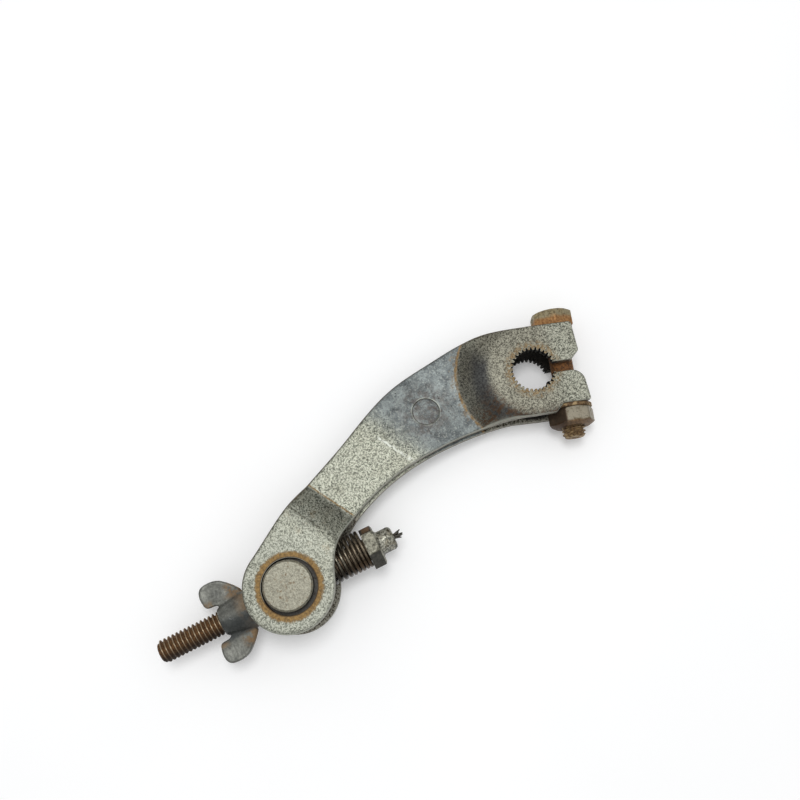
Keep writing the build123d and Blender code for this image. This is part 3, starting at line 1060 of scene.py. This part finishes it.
def plate_zinc():
    """Weathered zinc: speckled on the flats, blue-grey by the rivet, rust in the creases, with painted shade on
    the ramps, in the bore, in the pin hole and between the plates, and painted highlights on some edges.
    """
    t = Tree("plate_zinc")
    a = radians(BEND_ANGLE)
    d = t.along((cos(a), sin(a), 0))
    across = t.along((-sin(a), cos(a), 0))
    r = t.distance((0, 0))
    wander = t.noise(2.2, 3, 0.6, 3.0) * 2.4 - 1.2
    drift = t.noise(6.5, 3, 0.6, 4.0) * 6.0 - 3.0
    d_w = d + wander * 0.5
    r_w = r + wander * 0.6

    # Speckle: fine dark pits and pale grains
    fine = t.noise(0.34, 2.0, 0.7, 1.0)
    grain = t.noise(0.62, 3.0, 0.65, 2.0)
    speck = t.step(fine * 0.5 + grain * 0.5, 0.42, 0.58)
    cloud = t.noise(8.0, 4.0, 0.6, 5.0)
    flat = t.mix(speck, (66, 68, 58), (182, 184, 169))
    murky = t.mix(speck, (60, 61, 52), (164, 165, 149))
    eye = t.mix(speck, (96, 98, 88), (170, 172, 160))
    flat = t.mix(t.step(d + drift, RAMP_AT + 4.0, RAMP_AT + 12.0) * 0.75, flat, eye)
    flat = t.mix(t.step(cloud, 0.42, 0.68) * 0.7, flat, murky)

    # The clamp's face is darker away from the jaws
    by_clamp = t.step(r + drift, 27.0, 20.0)
    jaw = t.step(t.along((*slot_xy(1, 0), 0)) + drift, 3.0, 11.0)
    clamp_darkening = by_clamp * (0.85 - jaw * 0.6)
    clamp_dark_tone = t.mix(speck, (58, 55, 46), (144, 141, 126))
    t.color = t.mix(clamp_darkening, flat, clamp_dark_tone)

    # Smoother blue-grey stretch between the clamp and the crank, darker than the flats as painted shade of its
    # tilt, browner round the rivet
    mottle = t.noise(3.6, 5.0, 0.66, 8.0)
    blue = t.tones(mottle, 0.36, 0.64, (82, 87, 88), (126, 133, 132))
    blue = t.mix(t.step(grain, 0.52, 0.66) * 0.55, blue, (164, 168, 162))
    blue = t.mix(t.step(grain, 0.46, 0.34) * 0.6, blue, (46, 46, 44))
    umber = t.step(t.distance(RIVET_AT) + drift, 13.0, 5.0) * t.step(t.noise(1.8, 4, 0.7, 9.0), 0.4, 0.62)
    blue = t.mix(umber * 0.6, blue, (84, 74, 68))
    in_blue = t.step(d_w + drift * 0.8, CRANK_AT - 0.5, CRANK_AT - 11.0) * t.step(r_w, DISH_FOOT_R - 1.0,
                                                                                  DISH_FOOT_R + 0.5)
    t.paint(in_blue, blue)

    # Painted shade on the ramps: the fork's ramp, and the clamp's dished slope with rust spots
    ramp = t.step(d_w, RAMP_AT - 0.2, RAMP_AT + 0.8) * t.step(d + drift * 0.5, RAMP_AT + 5.5, RAMP_AT + 1.0)
    ramp = ramp * t.step(across + drift, -26.0, -14.0, 0.2, 1.0)
    ramp_shade_tone = t.tones(grain, 0.35, 0.7, (66, 72, 73), (110, 116, 114))
    t.paint(ramp * 0.62, ramp_shade_tone)
    dish = t.step(r_w, 12.5, 17.5) * t.step(r_w, DISH_FOOT_R + 0.2, DISH_FOOT_R - 0.6)
    dish = dish * t.step(d + drift, 1.0, 9.0)
    dish_shade_and_speckle = t.tones(fine * 0.5 + grain * 0.5, 0.4, 0.62, (48, 47, 42), (114, 113, 102))
    # Darkest band of the dish's painted shade
    band = t.step(r_w, 14.0, 17.0) * t.step(r_w, 23.5, 19.5)
    dish_shade_and_speckle = t.mix(band * 0.95, dish_shade_and_speckle, t.tones(grain, 0.3, 0.7, (30, 31, 33), (66, 68, 70)))
    # Darker brown speckle on one side of the dish
    low = t.step(across + drift, -16.0, -4.0) * t.step(grain, 0.3, 0.55)
    dish_shade_and_speckle = t.mix(low * 0.45, dish_shade_and_speckle, (34, 28, 22))
    t.paint(dish * 0.92, dish_shade_and_speckle)
    spots = t.step(t.noise(1.1, 4, 0.7, 15.0), 0.47, 0.55) * (dish * t.step(across + drift, -12.0, -3.0))
    t.paint(spots * 0.95, t.mix(grain, (22, 18, 14), (86, 60, 36)))

    # Pale streak along the crank's convex bend: a painted highlight, partly wear on the ridge
    crank = t.band(d + wander * 0.6, CRANK_AT - 1.2, 0.15, 0.6)
    crank = crank * (t.step(t.noise(1.2, 3, 0.6, 21.0), 0.4, 0.54) * t.step(across, -33.0, -30.0))
    t.paint(crank * 0.8, (198, 201, 192))

    # Rust in the creases, round the pin and at the bore
    rust = t.tones(t.noise(0.7, 4, 0.7, 31.0), 0.3, 0.7, (104, 78, 38), (170, 134, 74))
    fork_line = t.band(d + wander * 0.3, RAMP_AT - 0.1, 0.08, 0.32)
    fork_line = fork_line * t.step(t.noise(1.8, 3, 0.6, 33.0), 0.34, 0.52)
    clamp_line = t.band(r + wander * 0.55, DISH_FOOT_R + 0.1, 0.12, 0.55)
    clamp_line = clamp_line * t.step(t.noise(1.5, 3, 0.6, 38.0), 0.34, 0.54, 0.25, 1.0)
    stain = t.band(r + wander, DISH_FOOT_R + 0.9, 0.6, 1.6) * t.step(t.noise(2.0, 4, 0.7, 34.0), 0.5, 0.62)
    from_pin = t.distance(HOLE_AT)
    ring = t.step(from_pin + (wander * 0.7 + grain * 1.2), HOLE_R + 2.9, HOLE_R + 2.0)
    # A broken dark grey line along the ramp's upper crease
    crease = t.band(d + wander * 0.5, RAMP_AT + 9.4, 0.1, 0.5)
    crease = crease * (t.step(t.noise(1.6, 3, 0.6, 36.0), 0.4, 0.58) * t.step(across + drift, -13.0, -18.0))
    t.paint(crease * 0.75, (70, 68, 56))
    tinge = t.band(d + drift, RAMP_AT + 9.0, 3.0, 6.0) * t.step(t.noise(3.4, 4, 0.7, 37.0), 0.52, 0.68)
    t.paint(tinge * 0.35, (128, 108, 76))
    # A pale ring round the rivet: painted highlight on its edge
    rivet_ring_highlight = t.band(t.distance(RIVET_AT) + wander * 0.15, RIVET_R + 0.22, 0.05, 0.2)
    t.paint(rivet_ring_highlight * t.step(mottle, 0.36, 0.6, 0.15, 0.6), (160, 164, 154))
    bore = t.step(r + wander * 1.2, 10.8, 8.2) * t.step(t.noise(0.9, 3, 0.7, 35.0), 0.44, 0.56)
    rusty = t.most(fork_line * 0.75, clamp_line * 0.8, ring * 0.92, bore * 0.6, stain * 0.35)
    t.paint(rusty, rust)
    inner = t.step(from_pin + wander * 0.2, HOLE_R + 0.55, HOLE_R + 0.15)
    t.paint(inner * 0.75, (58, 40, 24))

    # Pits
    pits = t.step(t.cells(2.1, 4.0), 0.15, 0.07)
    t.paint(pits * 0.7, (44, 40, 34))

    # Sheared edges are darker and browner, and the bore's walls are painted black as shade, with lighter tooth
    # tips painted as lit
    upright = abs(t.dot((0, 0, 1), t.normal))
    edge = t.step(upright, 0.50, 0.20)
    edge_tone = t.tones(t.noise(0.9, 4, 0.7, 41.0), 0.36, 0.64, (58, 52, 42), (142, 137, 122))
    # Brown speckle on the rolled edges that face -Y
    rim = t.step(upright, 0.95, 0.78) * t.step(grain, 0.32, 0.52)
    outer = t.step(t.dot((0, -1, 0), t.normal), 0.1, 0.3)
    t.paint(rim * (outer * 0.7), (82, 70, 50))
    # Painted highlight: a pale line on the rolled edges that face +Y
    rolled = t.step(upright, 0.97, 0.8) * t.step(t.dot((0, 1, 0), t.normal), 0.05, 0.25)
    t.paint(rolled * 0.65, (186, 188, 176))
    t.paint(edge * 0.9, edge_tone)
    bore_wall_shade = edge * t.step(r, 9.2, 8.6)
    lit_tooth_tips = t.step(r + wander * 0.06, 7.2, 7.02)
    bore_shade_tone = t.mix(lit_tooth_tips * t.step(grain, 0.45, 0.62), (13, 11, 9), (58, 52, 42))
    t.paint(bore_wall_shade, bore_shade_tone)
    # Painted shade: the pin hole's wall is black
    hole_wall_shade = edge * t.step(from_pin, HOLE_R + 0.35, HOLE_R + 0.1)
    t.paint(hole_wall_shade, (24, 18, 12))

    # The faces turned to the other plate are painted black as shade between the plates where deep, brown and pale
    # speckled near their rims
    seam = t.step(d, CRANK_AT - 1.0, CRANK_AT + 5.0, 0.0, SEAM_LIFT)
    hand = t.step(t.along((0, 0, 1)) - seam, -0.4, 0.4, -1.0, 1.0)
    inner_face_shade = t.step(t.dot((0, 0, 1), t.normal) * hand, -0.3, -0.6)
    deep = t.most(t.step(from_pin, 14.0, 13.0), t.step(r, 16.0, 14.5))
    lip_tone = t.tones(grain, 0.4, 0.6, (64, 56, 42), (176, 174, 160))
    t.paint(inner_face_shade, t.mix(deep, lip_tone, t.mix(grain, (16, 14, 11), (36, 31, 25))))

    dull = t.most(rusty, inner_face_shade, bore_wall_shade, hole_wall_shade)
    metal = 0.7 - dull * 0.7
    rough = 0.4 + speck * 0.1 + dull * 0.4
    height = fine * 0.5 + (grain * 0.5 - pits * 0.8)
    return t.finish(metal, rough, t.bump(height, 0.1))


def rusty_steel(name, dark, light, pale, pale_share, metal=0.25):
    """Old bare steel: rust with paler worn patches. Its tree also holds the grain, the colour and the rest."""
    t = Tree(name)
    grain = t.noise(0.8, 4, 0.7, 2.0)
    lump = t.noise(2.4, 4, 0.6, 6.0)
    t.color = t.tones(grain, 0.32, 0.68, dark, light)
    worn = t.step(lump * 0.7 + grain * 0.3, 0.62 - pale_share * 0.3, 0.7 - pale_share * 0.3)
    t.paint(worn * 0.8, pale)
    specks = t.step(t.noise(0.5, 2, 0.7, 9.0), 0.58, 0.68)
    t.paint(specks * 0.6, (40, 32, 24))
    t.grain = grain
    t.parts = (worn * 0.5 + metal, 0.78 - worn * 0.25, t.bump(grain * 0.7 + lump * 0.6, 0.12))
    return t


def head_steel():
    """The bolt head: grey-brown on top, orange next to the plate."""
    t = rusty_steel("head_steel", (92, 80, 56), (168, 154, 118), (164, 154, 126), 0.5)
    v = t.along((*slot_xy(0, 1), 0)) + t.noise(2.4, 3, 0.6, 14.0) * 2.4
    near = t.step(v, -18.2, -16.6)
    t.paint(near * 0.85, t.tones(t.grain, 0.3, 0.7, (126, 80, 36), (190, 140, 86)))
    return t.finish(*t.parts)


def nut_steel():
    """The nut: worn grey facets, brown at its turned end and painted shade, dark brown, on its side towards the
    bore.
    """
    t = rusty_steel("nut_steel", (98, 86, 62), (140, 130, 108), (156, 150, 134), 0.75)
    v = t.along((*slot_xy(0, 1), 0)) + t.noise(1.8, 3, 0.6, 14.0) * 0.9
    u = t.along((*slot_xy(1, 0), 0)) + t.noise(1.8, 3, 0.6, 15.0) * 1.2
    end = NUT_SEAT + WASHER_T + NUT_H
    brown = t.tones(t.grain, 0.3, 0.7, (62, 42, 24), (122, 90, 56))
    t.paint(t.step(v, end - 1.4, end - 0.5) * 0.85, brown)
    # Painted shade: the side towards the bore is dark brown
    shade = t.step(u, BOLT_U - 1.9, BOLT_U - 2.7)
    t.paint(shade * 0.9, t.mix(t.grain, (24, 17, 11), (82, 58, 36)))
    return t.finish(*t.parts)


def pin_steel():
    """The trunnion's worn end: warm pale grey with fine rust specks, and painted shade, dark, on its sides and in
    the hole.
    """
    t = Tree("pin_steel")
    grain = t.noise(0.45, 3, 0.75, 2.0)
    lump = t.noise(3.0, 4, 0.6, 6.0)
    t.color = t.tones(grain, 0.32, 0.66, (108, 105, 92), (160, 158, 142))
    rusty = t.step(t.noise(0.9, 4, 0.7, 11.0), 0.52, 0.66) * t.step(lump, 0.4, 0.6)
    t.paint(rusty * 0.55, (140, 112, 78))
    # Painted shade: the pin's sides and the part of it that sits in the hole are dark
    side = t.step(abs(t.dot((0, 0, 1), t.normal)), 0.6, 0.2)
    high = abs(t.along((0, 0, 1)) - SEAM_LIFT)
    side = t.most(side, t.step(high, FORK_GAP / 2 + 2.6, FORK_GAP / 2 + 1.8))
    t.paint(side * 0.9, (34, 27, 20))
    metal = 0.55 - side * 0.4
    return t.finish(metal, 0.46 + rusty * 0.3, t.bump(grain + lump * 1.2, 0.07))


def rod_steel():
    """Thread: brown in the roots, dark with painted shade on its lower side, with thin pale crests, worn and
    painted as lit.
    """
    t = Tree("rod_steel")
    side, radius = t.about_rod()
    crest = t.step(radius + t.noise(0.8, 3, 0.7, 3.0) * 0.2, ROD_D / 2 - 0.02, ROD_D / 2 + 0.1)
    grain = t.noise(0.7, 4, 0.7, 5.0)
    t.color = t.tones(grain, 0.3, 0.7, (50, 32, 16), (124, 88, 48))
    # Painted shade on the thread's lower side
    shaded_lower_side = t.step(side + grain * 1.5, 1.2, 3.6)
    t.paint(shaded_lower_side * 0.8, (30, 19, 10))
    # Pale crests: wear, and painted highlight away from the shaded side
    worn_lit_crests = crest * (1.0 - shaded_lower_side * 0.85)
    t.paint(worn_lit_crests * 0.8, t.mix(grain, (124, 104, 76), (204, 190, 164)))
    metal = worn_lit_crests * 0.5 + 0.15
    return t.finish(metal, 0.72 - worn_lit_crests * 0.32, t.bump(grain, 0.08))


def spring_steel():
    """Oiled wire with painted shade on the coils' inner side, browner towards the hexagon."""
    t = Tree("spring_steel")
    grain = t.noise(0.8, 4, 0.7, 2.0)
    from_barrel = t.along(ROD_DIR) - (ROD_MIDDLE.dot(ROD_DIR) + BARREL_REACH)
    _, radius = t.about_rod()
    t.color = t.tones(grain, 0.3, 0.7, (66, 62, 52), (136, 131, 117))
    # Painted shade: the coils are dark towards the rod, between the wires
    t.paint(t.step(radius, 6.35, 5.9), (34, 29, 22))
    rusty = t.step(from_barrel + t.noise(3.0, 3, 0.6, 4.0) * 6.0, 9.5, 14.0) * t.step(grain, 0.3, 0.6)
    t.paint(rusty * 0.5, (98, 76, 52))
    return t.finish(0.9, 0.17 + rusty * 0.25, t.bump(grain, 0.02))


def wing_iron():
    """Cast wing nut: smooth grey, rust at the roots of its wings and painted shade, dark grey, on one side of the
    hub.
    """
    t = Tree("wing_iron")
    grain = t.noise(0.7, 4, 0.7, 2.0)
    lump = t.noise(4.0, 4, 0.6, 5.0)
    side, radius = t.about_rod()
    along = t.along(-ROD_DIR) + (ROD_MIDDLE.dot(ROD_DIR) - BARREL_REACH)
    t.color = t.tones(grain * 0.4 + lump * 0.6, 0.35, 0.65, (78, 79, 75), (124, 125, 118))
    blotches = t.step(t.noise(2.6, 4, 0.6, 9.4), 0.4, 0.5) * t.step(along + grain * 2.0, 12.0, 8.0)
    wings = t.step(radius, 5.6, 6.6) * t.step(radius + lump * 2.0, 12.5, 10.5)
    notch = t.step(along, 13.2, 15.4) * t.step(radius, 8.6, 6.6)
    rusty = t.most(blotches * wings, notch * t.step(grain, 0.35, 0.55))
    t.paint(rusty * 0.8, t.mix(grain, (88, 66, 40), (158, 126, 84)))
    # Painted shade: one side of the hub is dark grey
    hub_side_shade = t.step(side + lump * 6.0, 1.8, 4.6) * t.step(radius, 7.4, 6.2)
    hub = t.step(radius, 7.6, 6.6)
    t.paint(hub_side_shade * 0.8, t.mix(grain, (34, 37, 38), (70, 74, 74)))
    streaks = t.band(t.noise(3.2, 3, 0.6, 17.0), 0.5, 0.002, 0.014) * t.step(lump, 0.5, 0.62)
    t.paint(streaks * (hub * 0.4), (160, 164, 162))
    pits = t.step(t.cells(2.3, 4.0), 0.13, 0.06)
    t.paint(pits * 0.8, (30, 26, 20))
    normal = t.bump(grain * 0.5 + (lump - pits * 0.5), 0.12)
    return t.finish(0.6 - rusty * 0.5, 0.42 + rusty * 0.35, normal)


def ferrule_steel():
    """Pale, coarse-grained metal with brown dirt, and painted shade, dark grey, on its lower side."""
    t = Tree("ferrule_steel")
    grain = t.noise(0.75, 3, 0.75, 2.0)
    lump = t.noise(2.4, 4, 0.6, 6.0)
    side, _ = t.about_rod()
    t.color = t.tones(grain, 0.4, 0.6, (62, 62, 54), (192, 191, 176))
    t.paint(t.step(lump, 0.48, 0.66) * 0.6, (104, 94, 72))
    # Painted shade: surfaces facing down on one side are dark grey
    lower_side_shade = t.step(t.dot((0, 0, 1), t.normal), 0.50, 0.25)
    t.paint(lower_side_shade * t.step(side, 0.0, 1.5) * 0.8, t.mix(grain, (38, 38, 36), (92, 92, 88)))
    return t.finish(0.62, 0.42, t.bump(grain + lump * 0.6, 0.14))


def hex_steel():
    """The hexagon: worn grey on its upper face, with painted shade below, dark brown facets on its other side and
    a patch of rust.
    """
    t = Tree("hex_steel")
    grain = t.noise(0.8, 4, 0.75, 2.0)
    lump = t.noise(2.2, 4, 0.6, 6.0)
    _, radius = t.about_rod()
    t.color = t.tones(grain * 0.6 + lump * 0.4, 0.38, 0.6, (66, 64, 52), (164, 162, 146))
    tilt = t.dot(ROD_SIDE, t.normal)
    # Painted shade: the facets facing the lower side are dark
    low = t.step(tilt, 0.45, 0.75)
    t.paint(low * 0.9, t.mix(grain, (22, 22, 20), (72, 70, 64)))
    # The facets facing the other way are dark brown
    high = t.step(tilt, -0.35, -0.6)
    t.paint(high * 0.9, (38, 30, 20))
    along = t.along(ROD_DIR) - (ROD_MIDDLE.dot(ROD_DIR) + SHOULDER_AT)
    patch = t.band(along, HEX_T * 0.5, 1.0, 0.8) * t.step(radius + grain, 7.9, 7.2)
    t.paint(high * patch * 0.85, (132, 92, 44))
    return t.finish(0.55, 0.45, t.bump(grain + lump * 0.6, 0.12))


def wire_steel():
    t = Tree("wire_steel")
    grain = t.noise(0.5, 3, 0.7, 2.0)
    t.color = t.tones(grain, 0.3, 0.7, (34, 32, 30), (92, 88, 80))
    return t.finish(0.8, 0.38, t.bump(grain, 0.03))


# Stage

def floor():
    half = 900  # far past the picture's edges
    verts = [(x * half, y * half, FLOOR_Z / MM) for x, y in ((-1, -1), (1, -1), (1, 1), (-1, 1))]
    ob = new_object("floor", (verts, [(0, 1, 2, 3)]))
    t = Tree("floor")
    t.color = t.mix(t.noise(60.0, 3, 0.5, 1.0), (242, 243, 244), (247, 247, 247))
    seen = t.nodes.new("ShaderNodeLightPath").outputs
    direct = t.most(*(Value(t, seen[f"Is {kind} Ray"]) for kind in ("Camera", "Glossy", "Transmission")))
    t.put(srgb((255, 255, 255)), t.shader.inputs["Emission Color"])
    t.put(direct * 0.14, t.shader.inputs["Emission Strength"])
    ob.data.materials.append(t.finish(0.0, 0.75, t.bump(t.noise(3.0, 2, 0.5, 2.0), 0.01), specular=0.2))


def sky():
    """Bright overhead and dim towards the horizon, white where it is seen directly."""
    world = bpy.data.worlds.new("sky")
    bpy.context.scene.world = world
    world.use_nodes = True
    nodes = world.node_tree.nodes
    links = world.node_tree.links
    background = nodes["Background"]
    coords = nodes.new("ShaderNodeTexCoord")
    split = nodes.new("ShaderNodeSeparateXYZ")
    links.new(coords.outputs["Generated"], split.inputs[0])
    ramp = nodes.new("ShaderNodeMapRange")
    ramp.interpolation_type = "SMOOTHSTEP"
    for name, value in (("From Min", 0.05), ("From Max", 0.95), ("To Min", 0.20), ("To Max", 0.85)):
        ramp.inputs[name].default_value = value
    links.new(split.outputs["Z"], ramp.inputs["Value"])
    path = nodes.new("ShaderNodeLightPath")
    pick = nodes.new("ShaderNodeMix")
    pick.data_type = "FLOAT"
    links.new(path.outputs["Is Camera Ray"], pick.inputs["Factor"])
    links.new(ramp.outputs["Result"], pick.inputs["A"])
    pick.inputs["B"].default_value = 1.0
    links.new(pick.outputs["Result"], background.inputs["Strength"])
    background.inputs["Color"].default_value = (1, 1, 1, 1)


def lamp():
    data = bpy.data.lights.new("key", "AREA")
    data.shape = "DISK"
    data.size = 0.30
    data.energy = 2.1
    ob = bpy.data.objects.new("key", data)
    ob.location = (0.0, -0.116, 0.80)
    aim = Vector((0.06, -0.005, 0.0))
    ob.rotation_euler = (aim - ob.location).to_track_quat("-Z", "Y").to_euler()
    bpy.context.scene.collection.objects.link(ob)


def camera():
    data = bpy.data.cameras.new("camera")
    data.sensor_width = 36.0
    data.lens = 36.9
    data.clip_start = 0.01
    ob = bpy.data.objects.new("camera", data)
    right = Vector((-0.745610, 0.666382, 0.0))
    up = Vector((-0.647404, -0.724375, 0.236956))
    back = Vector((0.157903, 0.176677, 0.971520))
    ob.matrix_world = placed(right, up, back, Vector((0.085463, 0.026858, 0.278730)))
    bpy.context.scene.collection.objects.link(ob)
    bpy.context.scene.camera = ob


def main():
    scene = bpy.context.scene
    scene.view_settings.view_transform = "Standard"
    camera()
    floor()
    sky()
    lamp()

    zinc = plate_zinc()
    dress(pressed_plate("front_plate_pressed", 1), "lever", "plate_zinc", zinc, "front_plate")
    dress(pressed_plate("rear_plate_pressed", -1), "lever", "plate_zinc", zinc, "rear_plate")
    dress(flush_rivet(), "lever", "plate_zinc", zinc, "plate_rivet")

    shank_rust = rusty_steel("shank_rust", (58, 35, 17), (146, 98, 52), (158, 130, 92), 0.2)
    shank_rust = shank_rust.finish(*shank_rust.parts)
    tail_rust = rusty_steel("tail_rust", (64, 45, 27), (140, 112, 76), (166, 144, 108), 0.5)
    tail_rust = tail_rust.finish(*tail_rust.parts)
    head, shank, tail = clamp_bolt()
    dress(head, "lever", "rusty_steel", head_steel(), "clamp_bolt")
    dress(shank, "lever", "rusty_steel", shank_rust)
    dress(tail, "lever", "rusty_steel", tail_rust)
    dress(lock_washer(), "lever", "rusty_steel", tail_rust, "clamp_lock_washer")
    dress(clamp_nut(), "lever", "nut_steel", nut_steel(), "clamp_nut")

    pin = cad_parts["trunnion_pin"]
    for slot in pin.material_slots:
        slot.material = pin_steel()
    bevel = pin.modifiers.new("round", "BEVEL")
    bevel.width = 0.18 * MM
    bevel.segments = 3
    bevel.limit_method = "ANGLE"
    bevel.angle_limit = radians(25)
    bevel.use_clamp_overlap = True

    thread = rod_steel()
    dress(rod_thread(), "rod", "rod_steel", thread, "adjuster_rod")
    dress(rod_shank(), "rod", "rod_steel", thread)
    sleeve = ferrule_steel()
    dress(rod_hex(), "rod", "rod_steel", hex_steel())
    dress(ferrule(), "rod", "rod_steel", sleeve)
    wires = frayed_wires()
    wire = wire_steel()
    dress(wires[0], "rod", "wire_steel", wire, "cable_strands")
    for w in wires[1:]:
        dress(w, "rod", "wire_steel", wire)
    spring = return_spring()
    spring.data.materials.append(spring_steel())
    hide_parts("return_spring")
    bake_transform(spring)
    dress(wing_nut(), "wing_nut", "wing_iron", wing_iron(), "wing_nut")


main()
